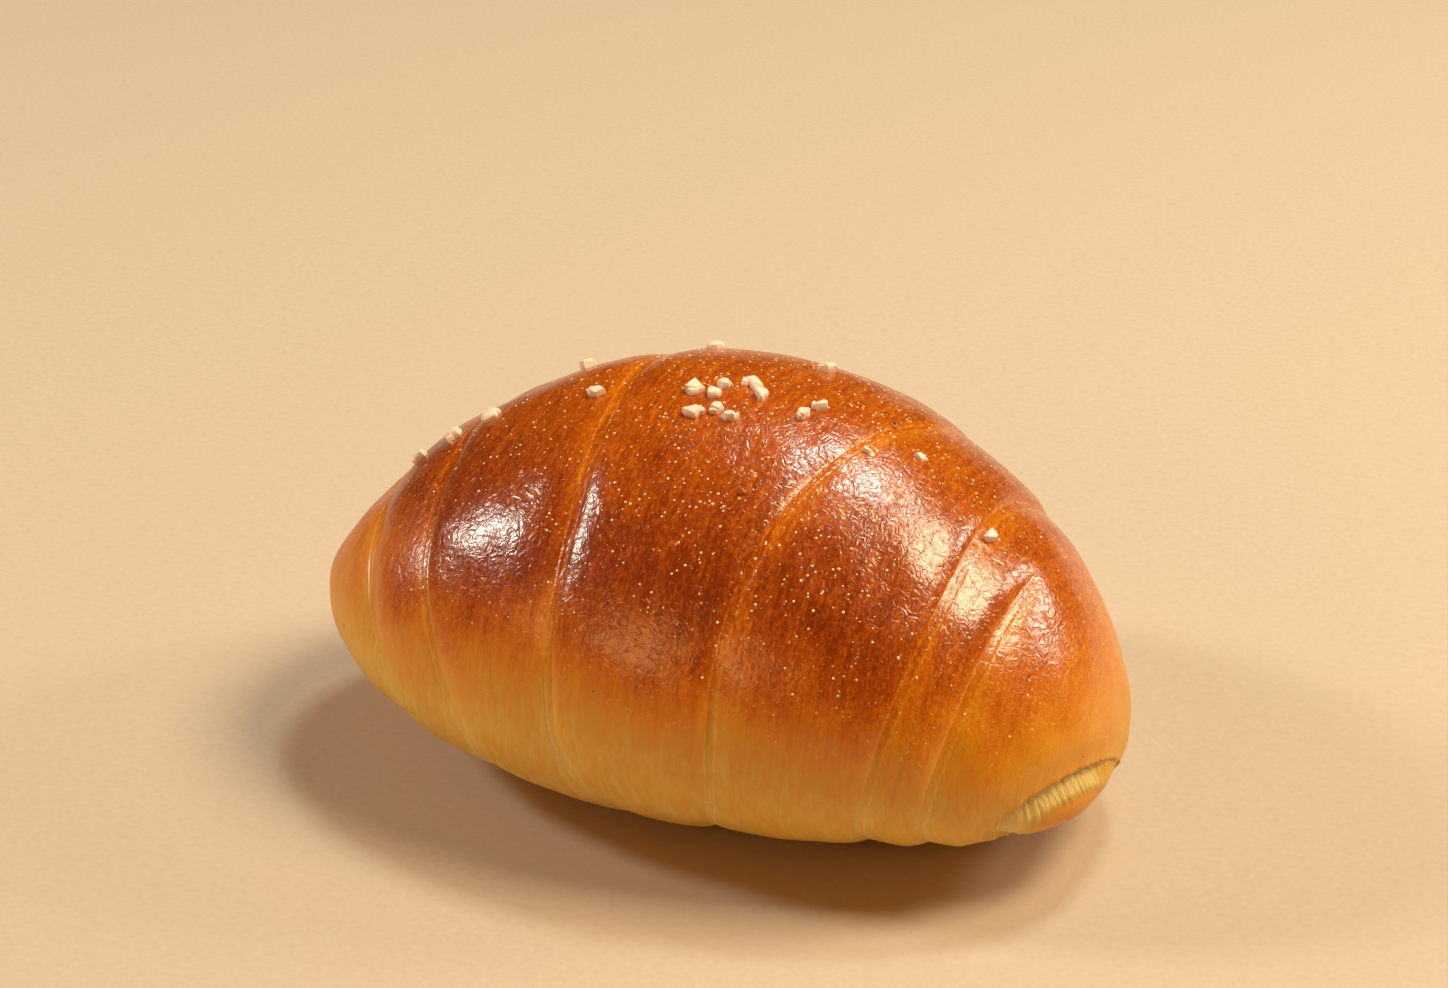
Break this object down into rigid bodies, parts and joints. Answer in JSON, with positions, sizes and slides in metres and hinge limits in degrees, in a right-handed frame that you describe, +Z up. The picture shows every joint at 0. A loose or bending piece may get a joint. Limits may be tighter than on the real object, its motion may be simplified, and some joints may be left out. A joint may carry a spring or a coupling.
{
  "type": "bread roll",
  "caption": "Rolled butter bread roll with a glossy golden-brown crust, spiral wrap creases, an open lip at one end and coarse salt on the crown.",
  "frame": {"origin": "middle of the flat underside, under the middle of the outline", "axes": "+X along the roll towards the end with the open lip, -Y the front, +Z up"},
  "size_m": [0.1194, 0.0854, 0.0613],
  "materials": {
    "crust": "egg-washed baked crust, dark amber on the crown fading to pale gold by the base",
    "salt": "coarse chipped salt, warm white and slightly translucent"
  },
  "bodies": {
    "root": {"bread_roll": "crust", "salt_grain_01": "salt", "salt_grain_02": "salt", "salt_grain_03": "salt", "salt_grain_04": "salt", "salt_grain_05": "salt", "salt_grain_06": "salt", "salt_grain_07": "salt", "salt_grain_08": "salt", "salt_grain_09": "salt", "salt_grain_10": "salt", "salt_grain_11": "salt", "salt_grain_12": "salt", "salt_grain_13": "salt", "salt_grain_14": "salt", "salt_grain_15": "salt", "salt_grain_16": "salt", "salt_grain_17": "salt", "salt_grain_18": "salt", "salt_grain_19": "salt", "salt_grain_20": "salt"}
  },
  "joints": []
}
